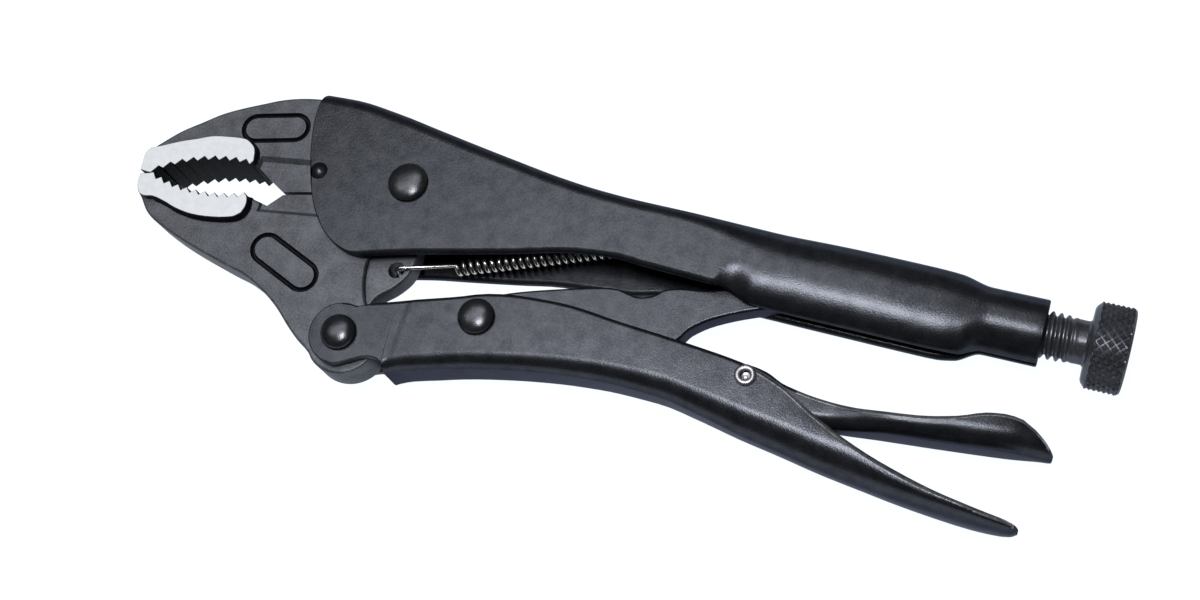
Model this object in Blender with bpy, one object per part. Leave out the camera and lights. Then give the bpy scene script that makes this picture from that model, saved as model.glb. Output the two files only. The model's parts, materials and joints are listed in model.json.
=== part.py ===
"""Locking pliers, ten-inch class with curved jaws, lying flat on one side.

The drawing frame is in millimetres: X runs along the adjusting screw from the jaws
to the knob, Y points to the back of the upper handle, Z is the thickness. Its origin
is where the screw leaves the handle, on the screw's axis. place() turns it into the
part's own frame, in metres, with the origin under the middle of the tool.
"""

import math

import bmesh
import bpy
import numpy as np

MM = 0.001
MIDDLE_X = -105.05
MIDDLE_Y = -15.35
REST_HEIGHT = 10.15

# Joint axes, all square to the tool's flat side.
JAW_PIVOT = (-155.5, -0.3)
HANDLE_PIVOT = (-159.6, -41.1)
LINK_PIVOT = (-127.6, -29.4)
LEVER_PIVOT = (-61.8, -27.9)
LINK_END = (-47.2, 0.0)
SPRING_HOLE = (-152.9, -21.3)
SPRING_ANCHOR = (-95.0, 0.0)

# Half thicknesses of the stack.
CHANNEL_HALF = 8.1
EAR_HALF = 7.7
PAD_HALF = 7.0
JAW_HALF = 4.8
LUG_HALF = 3.0
LINK_HALF = 3.0
SHEET = 2.4
NECK_SHEET = 1.8
RUNNING_FIT = 0.1

# Adjusting screw.
THREAD_RADIUS = 5.55
NECK_RADIUS = 5.1
KNOB_RADIUS = 10.15
SCREW_TIP_X = -38.4
KNOB_START_X = 9.8
KNOB_END_X = 18.8

# Return spring.
WIRE_RADIUS = 0.52
COIL_RADIUS = 1.68
COIL_TURNS = 20
COIL_START = 0.24
COIL_END = 0.93

# Back, front edge and lower edge of the upper handle, as (x, y) points.
HANDLE_BACK = [(-195.0, 18.8), (-186.0, 19.3), (-177.0, 19.6), (-165.0, 18.3), (-153.5, 16.3),
               (-142.0, 14.3), (-130.5, 12.4), (-119.5, 10.7), (-109.0, 9.6), (-98.0, 9.1),
               (-84.0, 9.0), (-66.0, 9.4), (-45.0, 9.8), (-26.0, 9.6), (-20.5, 9.3),
               (-13.0, 7.8), (2.0, 7.8)]
HANDLE_FOOT = [(-195.0, -24.0), (-170.0, -24.0), (-162.0, -21.3), (-151.5, -18.3),
               (-139.0, -15.3), (-124.0, -11.7), (-112.0, -8.6), (-103.0, -7.4), (-98.0, -7.1),
               (-94.0, -7.7), (-80.0, -8.0), (-73.5, -8.3), (-66.0, -10.2), (-45.0, -10.4),
               (-24.0, -10.6), (-18.0, -10.2), (-12.5, -7.8), (2.0, -7.8)]
HANDLE_FRONT = [(-185.2, 22.0), (-185.6, 18.6), (-185.9, 15.3), (-185.6, 10.6), (-184.4, 5.2),
                (-182.6, -0.4), (-179.4, -8.0), (-175.9, -13.6), (-171.5, -18.0),
                (-166.8, -20.4), (-162.0, -21.0), (-158.0, -20.2)]

# Rim and bottom of the lower handle.
LOWER_RIM = [(-175.0, -30.0), (-160.0, -32.8), (-152.2, -31.1), (-144.0, -28.4), (-134.2, -25.3),
             (-127.0, -22.8), (-118.5, -21.4), (-108.0, -20.9), (-93.7, -22.1), (-79.0, -23.2),
             (-63.0, -24.9), (-54.4, -27.4), (-45.0, -32.5), (-36.6, -36.5), (-27.0, -39.9),
             (-12.0, -43.6), (-3.0, -44.8), (4.2, -45.4)]
LOWER_FLOOR = [(-175.0, -62.0), (-150.5, -58.0), (-146.0, -47.5), (-135.5, -43.7), (-126.0, -41.1),
               (-111.0, -38.2), (-101.5, -37.0), (-91.5, -36.4), (-81.5, -36.6), (-71.0, -38.3),
               (-61.0, -40.4), (-50.5, -42.2), (-40.5, -44.0), (-31.0, -45.3), (-22.0, -46.4),
               (-12.5, -47.2), (-3.5, -47.6), (4.2, -47.4)]
LOWER_HALF_WIDTH = [(-175.0, 7.7), (-12.0, 7.7), (-5.0, 7.2), (0.0, 5.9), (3.0, 3.9), (4.2, 2.2)]

# Rim, bottom and half width of the release lever.
LEVER_RIM = [(-84.0, -28.6), (-75.0, -28.2), (-69.0, -26.4), (-65.0, -25.1), (-61.8, -24.8),
             (-58.0, -25.4), (-53.0, -27.2), (-44.0, -28.2), (-36.5, -28.5), (-29.5, -28.1), (-22.5, -27.3),
             (-14.0, -25.3), (-7.5, -22.9), (-3.0, -22.3), (0.0, -22.6), (3.0, -24.0),
             (6.0, -26.0), (7.9, -27.2)]
LEVER_FLOOR = [(-84.0, -32.4), (-72.0, -33.4), (-60.0, -34.4), (-48.0, -34.6), (-37.5, -33.6),
               (-29.0, -32.4), (-14.5, -31.1), (-0.5, -29.7), (6.0, -29.1), (7.9, -29.0)]
LEVER_HALF_WIDTH = [(-84.0, 4.8), (-43.0, 4.8), (-26.0, 7.4), (-6.0, 7.5), (2.0, 6.6),
                    (6.0, 4.6), (7.9, 2.2)]


def clear_scene():
    for old in list(bpy.data.objects):
        bpy.data.objects.remove(old, do_unlink=True)


def place(x, y, z):
    return ((x - MIDDLE_X) * MM, (y - MIDDLE_Y) * MM, (z + REST_HEIGHT) * MM)


def level(points, x):
    """Height of a curve given as (x, y) points at one x."""
    return float(np.interp(x, [p[0] for p in points], [p[1] for p in points]))


def steel(name, colour, metallic, roughness):
    material = bpy.data.materials.new(name)
    material.use_nodes = True
    shader = material.node_tree.nodes["Principled BSDF"]
    shader.inputs["Base Color"].default_value = (*colour, 1.0)
    shader.inputs["Metallic"].default_value = metallic
    shader.inputs["Roughness"].default_value = roughness
    return material


def make_object(name, points, faces, collection, material=None):
    """Mesh object from drawing-frame points, with its normals outward."""
    mesh = bpy.data.meshes.new(name)
    mesh.from_pydata([place(*p) for p in points], [], faces)
    work = bmesh.new()
    work.from_mesh(mesh)
    bmesh.ops.remove_doubles(work, verts=work.verts, dist=0.00001)
    bmesh.ops.recalc_face_normals(work, faces=work.faces)
    work.to_mesh(mesh)
    work.free()
    result = bpy.data.objects.new(name, mesh)
    collection.objects.link(result)
    if material:
        mesh.materials.append(material)
    return result


def arc(centre, radius, start_deg, end_deg, steps):
    angles = np.radians(np.linspace(start_deg, end_deg, steps + 1))
    return [(centre[0] + radius * math.cos(a), centre[1] + radius * math.sin(a)) for a in angles]


def plate(name, outline, low, high, collection, material=None, chamfer=0.0):
    """Flat plate with the given outline between two Z levels, rims chamfered."""
    count = len(outline)
    points = [(x, y, low) for x, y in outline] + [(x, y, high) for x, y in outline]
    faces = [tuple(range(count - 1, -1, -1)), tuple(range(count, 2 * count))]
    for i in range(count):
        j = (i + 1) % count
        faces.append((i, j, count + j, count + i))
    result = make_object(name, points, faces, collection, material)
    if chamfer:
        work = bmesh.new()
        work.from_mesh(result.data)
        rims = [e for e in work.edges
                if abs(e.verts[0].co.z - e.verts[1].co.z) < 1e-7]
        bmesh.ops.bevel(work, geom=rims, offset=chamfer * MM, segments=1, affect="EDGES",
                        clamp_overlap=True)
        work.to_mesh(result.data)
        work.free()
    return result


def turned(name, profile, centre, axis, segments, collection, material=None):
    """Round piece turned from (position along the axis, radius) points."""
    points = []
    rings = []
    for along, radius in profile:
        ring = []
        for i in range(segments if radius > 0 else 1):
            angle = 2 * math.pi * (i + 0.5) / segments
            u = radius * math.cos(angle)
            v = radius * math.sin(angle)
            ring.append(len(points))
            if axis == "X":
                points.append((along, centre[0] + u, centre[1] + v))
            else:
                points.append((centre[0] + u, centre[1] + v, along))
        rings.append(ring)
    faces = []
    closed = profile[0] == profile[-1]
    for a, b in zip(rings, rings[1:]):
        for i in range(segments):
            j = (i + 1) % segments
            corners = [a[i % len(a)], a[j % len(a)], b[j % len(b)], b[i % len(b)]]
            faces.append(tuple(dict.fromkeys(corners)))
    if not closed:
        for ring in (rings[0], rings[-1]):
            if len(ring) > 1:
                faces.append(tuple(ring))
    return make_object(name, points, faces, collection, material)


def boolean(target, other, operation):
    step = target.modifiers.new(operation, "BOOLEAN")
    step.operation = operation
    step.solver = "EXACT"
    step.object = other
    depsgraph = bpy.context.evaluated_depsgraph_get()
    mesh = bpy.data.meshes.new_from_object(target.evaluated_get(depsgraph))
    target.modifiers.clear()
    target.data = mesh
    work = bmesh.new()
    work.from_mesh(mesh)
    bmesh.ops.remove_doubles(work, verts=work.verts, dist=0.00002)
    bmesh.ops.dissolve_degenerate(work, edges=work.edges, dist=0.00001)
    work.to_mesh(mesh)
    work.free()


def join(target, other):
    boolean(target, other, "UNION")
    bpy.data.objects.remove(other, do_unlink=True)


def drill(target, centre, radius, cutters):
    """Round hole right through along Z."""
    tool = turned("cut_" + target.name, [(-20.0, radius), (20.0, radius)], centre, "Z", 20, cutters)
    boolean(target, tool, "DIFFERENCE")


def loft(name, sections, collection, material=None):
    """Closed body through a row of closed sections with equal point counts."""
    points = []
    for section in sections:
        points.extend(section)
    size = len(sections[0])
    faces = [tuple(range(size - 1, -1, -1)),
             tuple(range((len(sections) - 1) * size, len(sections) * size))]
    for row in range(len(sections) - 1):
        for i in range(size):
            j = (i + 1) % size
            a = row * size
            b = a + size
            faces.append((a + i, a + j, b + j, b + i))
    return make_object(name, points, faces, collection, material)


def sheet_section(x, path, thickness):
    """Closed section at x of a sheet whose outside is a half path, mirrored.

    Each path entry is (y, z, inward y, inward z).
    """
    outer = [(y, z) for y, z, _, _ in path]
    inner = [(y + thickness * ny, z + thickness * nz) for y, z, ny, nz in path]
    outer_row = [(x, y, z) for y, z in outer[::-1]] + [(x, y, -z) for y, z in outer[1:]]
    inner_row = [(x, y, -z) for y, z in inner[::-1]] + [(x, y, z) for y, z in inner[1:]]
    return outer_row + inner_row


def channel_path(x):
    """Half outline of the upper handle's section: back, bend, cheek, lower bend, lip."""
    back = level(HANDLE_BACK, x)
    foot = level(HANDLE_FOOT, x)
    curl = float(np.interp(x, [-76.0, -64.0], [0.0, 1.0]))
    neck = float(np.interp(x, [-20.5, -13.0], [0.0, 1.0]))
    half = CHANNEL_HALF + neck * (7.8 - CHANNEL_HALF)
    bend = 3.6 + neck * (7.7 - 3.6)
    lip = 0.25 + curl * 0.4 * (1.0 - neck)
    path = [(back, 0.0, -1.0, 0.0)]
    for a in np.radians([0.0, 30.0, 60.0, 90.0]):
        path.append((back - bend + bend * math.cos(a), half - bend + bend * math.sin(a),
                     -math.cos(a), -math.sin(a)))
    full_turn = max(curl * math.pi / 2, 0.001)
    radius = bend * math.pi / 2 / full_turn
    turn = full_turn * (1.0 - 0.06 * neck)
    start = foot + radius * math.sin(turn) + lip * math.cos(turn)
    for part in (0.0, 1 / 3, 2 / 3, 1.0):
        a = turn * part
        path.append((start - radius * math.sin(a), half - radius + radius * math.cos(a),
                     math.sin(a), -math.cos(a)))
    y, z, ny, nz = path[-1]
    path.append((y - lip * math.cos(turn), z - lip * math.sin(turn), ny, nz))
    return path


def upper_handle(parts, cutters, material):
    stations = [-192.0, -177.0, -165.0, -153.5, -142.0, -130.5, -119.5, -109.0, -98.0, -87.0,
                -76.0, -72.0, -68.0, -64.0, -45.0, -26.0, -20.5, -18.0, -15.5, -13.0, 0.0]
    sections = []
    for x in stations:
        thickness = float(np.interp(x, [-20.5, -13.0], [SHEET, NECK_SHEET]))
        sections.append(sheet_section(x, channel_path(x), thickness))
    body = loft("upper_handle", sections, parts, material)
    outline = HANDLE_FRONT + [(-140.0, -40.0), (20.0, -40.0), (20.0, 30.0), (-185.2, 30.0)]
    front = plate("cut_handle_front", outline, -20.0, 20.0, cutters)
    boolean(body, front, "INTERSECT")
    drill(body, JAW_PIVOT, 3.4 + RUNNING_FIT, cutters)
    return body


def tooth_row(centre, radius, start_x, end_x, count, depth, side):
    """Saw teeth along an arc; the tips lie on the arc and the valleys go into the jaw."""
    row = []
    for i in range(2 * count + 1):
        x = start_x + (end_x - start_x) * i / (2 * count)
        height = math.sqrt(radius ** 2 - (x - centre[0]) ** 2)
        y = centre[1] + side * height
        if i % 2:
            y += side * depth
        row.append((x, y))
    return row


def fixed_jaw(parts, material):
    body = [(-228.5, -11.0), (-224.8, -10.4), (-221.0, -8.6), (-214.0, -4.9), (-207.0, -2.6),
            (-198.0, -3.4), (-193.6, -5.5), (-188.5, -8.3), (-181.0, -6.6), (-172.0, -5.2)]
    body += arc(JAW_PIVOT, 10.7, 205.0, 100.0, 9)
    body += [(-158.0, 14.0), (-165.0, 15.2), (-177.0, 16.6), (-186.5, 16.4), (-186.5, 18.3),
             (-192.1, 17.4), (-197.6, 15.8), (-202.5, 13.6), (-207.6, 11.0), (-212.3, 8.1),
             (-216.7, 4.5), (-221.4, 0.9), (-224.6, -2.0), (-227.6, -5.0), (-228.9, -8.0)]
    jaw = plate("fixed_jaw", body, -JAW_HALF, JAW_HALF, parts, material, chamfer=0.5)
    pad = tooth_row((-199.5, -46.3), 42.1, -224.0, -198.6, 9, 1.2, 1.0)
    pad += [(-197.9, -3.0), (-198.8, 0.1), (-200.5, 1.6), (-202.4, 2.3), (-207.8, 1.8),
            (-211.7, 1.0), (-215.2, -0.5), (-218.6, -1.8), (-221.4, -3.1), (-224.2, -4.5),
            (-226.6, -5.5), (-227.5, -7.0), (-227.3, -10.0), (-227.1, -11.9)]
    join(jaw, plate("fixed_pad", pad, -PAD_HALF, PAD_HALF, parts, material))
    return jaw


def moving_jaw(parts, cutters, material):
    body = [(-188.5, -9.1), (-181.0, -7.4), (-172.0, -6.0)]
    body += arc(JAW_PIVOT, 10.2, 208.0, -100.0, 15)
    body += [(-160.3, -20.3), (-157.7, -30.6), (-153.0, -35.4)]
    body += arc(HANDLE_PIVOT, 9.2, 20.0, -160.0, 10)
    body += [(-170.6, -43.2), (-173.5, -41.0), (-178.5, -36.6), (-184.1, -33.6), (-190.7, -31.9),
             (-196.8, -30.5), (-210.0, -27.0), (-219.0, -23.7), (-222.5, -21.6), (-225.4, -18.4),
             (-227.2, -16.6), (-227.9, -14.7), (-228.0, -12.2), (-225.0, -12.0), (-223.0, -13.6),
             (-215.0, -15.2), (-208.0, -16.0), (-199.0, -14.2), (-196.2, -12.0), (-191.6, -12.8)]
    jaw = plate("moving_jaw", body, -JAW_HALF, JAW_HALF, parts, material, chamfer=0.5)
    pad = tooth_row((-210.5, 28.7), 42.5, -223.2, -197.2, 10, 1.2, -1.0)
    pad += [(-196.0, -12.8), (-195.5, -15.0), (-196.0, -17.1), (-197.8, -18.6), (-203.0, -19.9),
            (-208.7, -20.4), (-213.7, -19.8), (-217.2, -18.8), (-220.9, -18.1), (-223.2, -18.5),
            (-224.8, -18.2), (-226.0, -16.6), (-226.6, -14.6), (-226.7, -12.9), (-224.4, -12.3)]
    join(jaw, plate("moving_pad", pad, -PAD_HALF, PAD_HALF, parts, material))
    lug = [(-163.0, -10.0), (-150.5, -10.5), (-149.0, -16.0), (-149.3, -21.2), (-150.4, -23.6),
           (-152.6, -26.4), (-155.2, -28.8), (-156.2, -31.0), (-156.6, -34.0), (-163.0, -34.0)]
    join(jaw, plate("spring_lug", lug, -LUG_HALF, LUG_HALF, parts, material))
    drill(jaw, JAW_PIVOT, 3.4 + RUNNING_FIT, cutters)
    drill(jaw, HANDLE_PIVOT, 3.2 + RUNNING_FIT, cutters)
    drill(jaw, SPRING_HOLE, 1.9, cutters)
    return jaw


def trough_path(x, rim_line, floor_line, width_line, bend):
    """Half outline of a trough's section: floor, bend and side wall up to its rim."""
    rim = level(rim_line, x)
    floor = level(floor_line, x)
    half = level(width_line, x)
    radius = min(bend, (rim - floor) * 0.9, half * 0.9)
    path = [(floor, 0.0, 1.0, 0.0)]
    for a in np.radians([0.0, 30.0, 60.0, 90.0]):
        path.append((floor + radius - radius * math.cos(a), half - radius + radius * math.sin(a),
                     math.cos(a), -math.sin(a)))
    path.append((rim, half, 0.0, -1.0))
    return path


def trough(name, stations, lines, bend, sheet, parts, material):
    """Sheet-metal trough through the stations; lines are its rim, floor and half width."""
    sections = []
    for x in stations:
        depth = level(lines[0], x) - level(lines[1], x)
        thickness = min(sheet, 0.7 * depth, 0.7 * level(lines[2], x))
        sections.append(sheet_section(x, trough_path(x, *lines, bend), thickness))
    return loft(name, sections, parts, material)


def lower_handle(parts, cutters, material):
    stations = [-172.0, -150.5, -146.0, -135.0, -126.0, -118.5, -108.0, -93.7, -79.0, -63.0,
                -54.4, -45.0, -36.6, -27.0, -12.0, -4.0, 1.0, 4.2]
    body = trough("lower_handle", stations, (LOWER_RIM, LOWER_FLOOR, LOWER_HALF_WIDTH), 5.0,
                  SHEET, parts, material)
    outline = arc(HANDLE_PIVOT, 7.8, 75.0, 285.0, 14)
    outline += [(-154.7, -46.8), (-153.0, -45.8), (-151.0, -45.1), (-148.8, -45.0),
                (-147.0, -45.7), (-146.2, -48.0), (-146.2, -70.0), (20.0, -70.0), (20.0, -10.0),
                (-130.0, -10.0), (-152.5, -31.3)]
    front = plate("cut_lower_front", outline, -20.0, 20.0, cutters)
    boolean(body, front, "INTERSECT")
    drill(body, HANDLE_PIVOT, 3.2 + RUNNING_FIT, cutters)
    drill(body, LINK_PIVOT, 3.2 + RUNNING_FIT, cutters)
    drill(body, LEVER_PIVOT, 2.1 + RUNNING_FIT, cutters)
    return body


def release_lever(parts, cutters, material):
    stations = [-84.0, -75.0, -69.0, -65.0, -58.0, -53.0, -43.0, -36.5, -26.0, -14.0, -7.5, -2.0,
                2.0, 5.5, 7.9]
    body = trough("release_lever", stations, (LEVER_RIM, LEVER_FLOOR, LEVER_HALF_WIDTH), 3.0,
                  1.9, parts, material)
    drill(body, LEVER_PIVOT, 2.1 + RUNNING_FIT, cutters)
    return body


def toggle_link(parts, cutters, material):
    length = math.dist(LINK_PIVOT, LINK_END)
    along = ((LINK_END[0] - LINK_PIVOT[0]) / length, (LINK_END[1] - LINK_PIVOT[1]) / length)
    outline = arc((0.0, 0.0), 6.8, 90.0, 270.0, 8)
    outline += [(22.0, -6.6), (34.0, -7.6), (39.0, -10.6), (44.5, -10.6), (47.5, -9.0),
                (50.2, -7.0), (55.7, -5.2), (65.0, -4.2)]
    outline += arc((length, 0.0), 4.0, -90.0, 90.0, 8)
    outline += [(75.0, 3.6), (64.0, 2.2), (55.0, 2.2), (48.5, 3.5), (44.7, 3.6), (41.8, 2.5),
                (38.5, 2.5), (35.7, 3.9), (33.4, 5.2), (29.4, 6.0), (23.9, 6.5), (10.0, 7.2)]
    turned_outline = [(LINK_PIVOT[0] + u * along[0] - v * along[1],
                       LINK_PIVOT[1] + u * along[1] + v * along[0]) for u, v in outline]
    link = plate("toggle_link", turned_outline, -LINK_HALF, LINK_HALF, parts, material,
                 chamfer=0.4)
    drill(link, LINK_PIVOT, 3.2 + RUNNING_FIT, cutters)
    return link


def rivet(name, centre, shank, head, underside, parts, material):
    """Solid rivet with a domed head on both sides."""
    rise = REST_HEIGHT - underside
    dome = [(rise, 0.0), (0.95 * rise, 0.45 * head), (0.68 * rise, 0.8 * head),
            (0.3 * rise, 0.97 * head), (0.0, head)]
    upper = [(underside + h, r) for h, r in dome] + [(underside, shank)]
    profile = upper + [(-along, radius) for along, radius in reversed(upper)]
    return turned(name, profile, centre, "Z", 20, parts, material)


def tubular_rivet(parts, material):
    """Hollow rivet whose ends are rolled over outside the lower handle."""
    underside = EAR_HALF + 0.1
    upper = [(underside + 0.45, 1.05), (underside + 0.6, 1.5), (underside + 0.45, 2.2),
             (underside, 2.45), (underside, 2.1)]
    profile = upper + [(-along, radius) for along, radius in reversed(upper)]
    profile.append(profile[0])
    return turned("release_lever_rivet", profile, LEVER_PIVOT, "Z", 20, parts, material)


def adjusting_screw(parts, material):
    """Threaded screw with its knurled knob in one piece, thread drawn at its outside size."""
    profile = [(SCREW_TIP_X, 0.0), (SCREW_TIP_X, 4.4), (SCREW_TIP_X + 1.2, THREAD_RADIUS),
               (3.4, THREAD_RADIUS), (4.2, NECK_RADIUS), (KNOB_START_X, NECK_RADIUS),
               (KNOB_START_X, 8.7), (KNOB_START_X + 1.2, KNOB_RADIUS),
               (KNOB_END_X - 0.9, KNOB_RADIUS), (KNOB_END_X, 9.2), (KNOB_END_X, 0.0)]
    return turned("adjusting_screw", profile, (0.0, 0.0), "X", 24, parts, material)


def tube(name, path, radius, sides, collection, material):
    """Round wire along a path, its section carried along without twist."""
    path = np.array(path)
    tangents = np.gradient(path, axis=0)
    tangents /= np.linalg.norm(tangents, axis=1)[:, None]
    normal = np.cross(tangents[0], (0.0, 0.0, 1.0))
    if np.linalg.norm(normal) < 0.1:
        normal = np.cross(tangents[0], (1.0, 0.0, 0.0))
    sections = []
    for point, tangent in zip(path, tangents):
        normal = normal - tangent * np.dot(normal, tangent)
        normal /= np.linalg.norm(normal)
        binormal = np.cross(tangent, normal)
        ring = []
        for i in range(sides):
            angle = 2 * math.pi * i / sides
            ring.append(tuple(point + radius * (math.cos(angle) * normal
                                                + math.sin(angle) * binormal)))
        sections.append(ring)
    return loft(name, sections, collection, material)


def return_spring(parts, material):
    """Tension spring from the moving jaw's lug to an anchor inside the upper handle."""
    hole = np.array((*SPRING_HOLE, 0.0))
    anchor = np.array((*SPRING_ANCHOR, 0.0))
    along = (anchor - hole) / np.linalg.norm(anchor - hole)
    side = np.array((-along[1], along[0], 0.0))
    up = np.array((0.0, 0.0, 1.0))
    reach = np.linalg.norm(anchor - hole)
    path = [hole + 3.0 * along - 3.9 * up, hole + 0.9 * along - 4.1 * up,
            hole - 3.3 * up + 0.1 * along, hole + 3.3 * up + 0.1 * along,
            hole + 1.2 * along + 4.1 * up, hole + 6.0 * along + 3.0 * up]
    steps = 8 * COIL_TURNS
    for i in range(steps + 1):
        turn = 2 * math.pi * i / 8
        run = reach * (COIL_START + (COIL_END - COIL_START) * i / steps)
        path.append(hole + run * along
                    + COIL_RADIUS * (math.cos(turn) * up - math.sin(turn) * side))
    path.append(hole + (reach * COIL_END + 1.6) * along + 1.5 * up)
    path.append(hole + (reach + 0.6) * along + 0.4 * up)
    path.append(hole + (reach + 0.6) * along - 1.4 * up)
    return tube("return_spring", path, WIRE_RADIUS, 6, parts, material)


def set_origin(piece, centre):
    """Moves a piece's origin onto its joint axis without moving its surface."""
    x, y, z = place(*centre, 0.0)
    for vertex in piece.data.vertices:
        vertex.co.x -= x
        vertex.co.y -= y
        vertex.co.z -= z
    piece.location = (x, y, z)


def build():
    clear_scene()
    parts = bpy.data.collections.new("locking_pliers")
    cutters = bpy.data.collections.new("cutters")
    bpy.context.scene.collection.children.link(parts)
    bpy.context.scene.collection.children.link(cutters)

    sheet = (0.085, 0.09, 0.1)
    forged = (0.1, 0.105, 0.115)
    upper_handle(parts, cutters, steel("handle_sheet", sheet, 0.6, 0.42))
    fixed_jaw(parts, steel("fixed_jaw_steel", forged, 0.6, 0.4))
    jaw = moving_jaw(parts, cutters, steel("moving_jaw_steel", forged, 0.6, 0.4))
    lower = lower_handle(parts, cutters, steel("lower_handle_sheet", sheet, 0.6, 0.42))
    link = toggle_link(parts, cutters, steel("link_steel", sheet, 0.6, 0.45))
    lever = release_lever(parts, cutters, steel("lever_sheet", sheet, 0.6, 0.42))
    return_spring(parts, steel("spring_wire", (0.6, 0.58, 0.54), 1.0, 0.25))
    screw = adjusting_screw(parts, steel("screw_steel", (0.12, 0.12, 0.13), 0.8, 0.35))
    dark = steel("rivet_steel", (0.09, 0.09, 0.1), 0.8, 0.3)
    rivet("jaw_pivot_rivet", JAW_PIVOT, 3.4, 5.05, CHANNEL_HALF + 0.15, parts, dark)
    swing = rivet("handle_pivot_rivet", HANDLE_PIVOT, 3.2, 4.45, EAR_HALF + 0.15, parts,
                  dark.copy())
    rivet("link_pivot_rivet", LINK_PIVOT, 3.2, 4.5, EAR_HALF + 0.15, parts, dark.copy())
    tubular_rivet(parts, steel("tubular_rivet_steel", (0.5, 0.5, 0.5), 1.0, 0.3))

    set_origin(jaw, JAW_PIVOT)
    set_origin(lower, HANDLE_PIVOT)
    set_origin(swing, HANDLE_PIVOT)
    set_origin(link, LINK_PIVOT)
    set_origin(lever, LEVER_PIVOT)
    set_origin(screw, (0.0, 0.0))
    for cutter in cutters.objects:
        cutter.hide_render = True
        cutter.display_type = "WIRE"


build()
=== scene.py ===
"""Locking pliers: the detailed model, its materials, and a soft studio round it.

Shapes are drawn in millimetres in the part's drawing frame: X runs along the adjusting
screw from the jaws to the knob, Y points to the back of the upper handle, Z is the
thickness. world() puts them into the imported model's frame, from its jaw pivot.
"""

import json
import math

import bmesh
import bpy
import numpy as np
from mathutils import Matrix, Vector

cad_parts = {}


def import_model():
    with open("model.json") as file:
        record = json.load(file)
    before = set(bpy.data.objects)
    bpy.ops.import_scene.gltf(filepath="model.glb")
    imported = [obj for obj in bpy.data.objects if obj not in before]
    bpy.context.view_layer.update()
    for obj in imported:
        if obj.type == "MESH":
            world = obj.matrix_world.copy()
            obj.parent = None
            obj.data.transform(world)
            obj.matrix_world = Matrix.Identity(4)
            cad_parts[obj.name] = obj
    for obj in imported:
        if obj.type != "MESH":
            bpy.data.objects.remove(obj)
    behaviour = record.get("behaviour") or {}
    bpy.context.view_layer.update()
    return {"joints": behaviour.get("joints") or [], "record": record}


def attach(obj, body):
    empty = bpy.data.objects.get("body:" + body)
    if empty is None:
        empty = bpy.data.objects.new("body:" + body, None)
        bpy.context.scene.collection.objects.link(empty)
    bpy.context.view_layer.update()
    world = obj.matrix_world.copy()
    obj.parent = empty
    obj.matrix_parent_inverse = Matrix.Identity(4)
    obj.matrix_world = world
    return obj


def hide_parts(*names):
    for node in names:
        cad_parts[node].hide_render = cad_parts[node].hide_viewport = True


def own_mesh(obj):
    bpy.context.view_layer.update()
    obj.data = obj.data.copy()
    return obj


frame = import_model()

MM = 0.001

# Joint axes and the places that the link and the spring reach.
JAW_PIVOT = (-155.5, -0.3)
HANDLE_PIVOT = (-159.6, -41.1)
LINK_PIVOT = (-127.6, -29.4)
LEVER_PIVOT = (-61.8, -27.9)
LINK_END = (-47.2, 0.0)
SPRING_HOLE = (-152.9, -21.3)
SPRING_ANCHOR = (-95.0, 0.0)

# Half height at the three domed rivets, on which the pliers lie.
REST_HEIGHT = 10.15

# Half thicknesses of the stack, and the sheet.
CHANNEL_HALF = 8.1
NECK_HALF = 7.8
EAR_HALF = 7.6
PAD_HALF = 7.0
JAW_HALF = 4.8
LUG_HALF = 3.0
LINK_HALF = 3.0
SHEET = 2.4
NECK_SHEET = 1.8
LEVER_SHEET = 1.9

# How far edges are rounded, and how far down a rim gets its painted highlight.
RIM_ROUND = 0.4
LEVER_ROUND = 0.3
FORGE_ROUND = 0.7
PAD_ROUND = 0.12
RIM_HIGHLIGHT_DEPTH = 1.0

# Half length of the cutters, which pass right through the pliers.
CUT_REACH = 20.0

# Radii of the rounded ends about the two front pivots.
FIXED_JAW_END = 10.7
MOVING_JAW_END = 10.2
MOVING_JAW_BOSS = 9.4
LOWER_HANDLE_END = 7.8

# Radii of the holes.
JAW_PIVOT_HOLE = 3.5
RIVET_HOLE = 3.3
LOWER_HANDLE_LEVER_HOLE = 2.2
LEVER_HOLE = 2.15
SPRING_HOLE_RADIUS = 2.1

# Size under which a sliver is removed from a forging and from the thread.
FORGE_MERGE = 0.03
THREAD_MERGE = 0.002

# Adjusting screw and its knob.
THREAD_RADIUS = 5.55
THREAD_ROOT = 4.55
THREAD_PITCH = 1.81
NECK_RADIUS = 5.1
SCREW_TIP_X = -38.4
THREAD_END_X = 7.8
KNOB_START_X = 9.8
KNOB_END_X = 18.8
KNOB_RADIUS = 10.15
KNURL_DEPTH = 0.75
KNURLS_ROUND = 28
KNURL_LENGTH = 2.2

# Return spring.
WIRE_RADIUS = 0.52
COIL_RADIUS = 1.68
COIL_TURNS = 24
COIL_START = 0.24
COIL_END = 0.93

# Upper handle: back, lower edge, and front edge of the cheeks.
HANDLE_BACK = [(-195.0, 18.8), (-186.0, 19.3), (-177.0, 19.6), (-165.0, 18.3), (-153.5, 16.3),
               (-142.0, 14.3), (-130.5, 12.4), (-119.5, 10.7), (-109.0, 9.6), (-98.0, 9.1),
               (-84.0, 9.0), (-66.0, 9.4), (-45.0, 9.8), (-26.0, 9.6), (-20.5, 9.3),
               (-13.0, 7.8), (2.0, 7.8)]
HANDLE_FOOT = [(-195.0, -24.0), (-170.0, -24.0), (-162.0, -21.3), (-151.5, -18.3),
               (-139.0, -15.3), (-124.0, -11.7), (-112.0, -8.6), (-103.0, -7.4), (-98.0, -7.1),
               (-94.0, -7.5), (-80.0, -8.0), (-73.5, -8.3), (-66.0, -10.0), (-45.0, -10.4),
               (-24.0, -10.6), (-18.0, -10.2), (-12.5, -7.8), (2.0, -7.8)]
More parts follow.
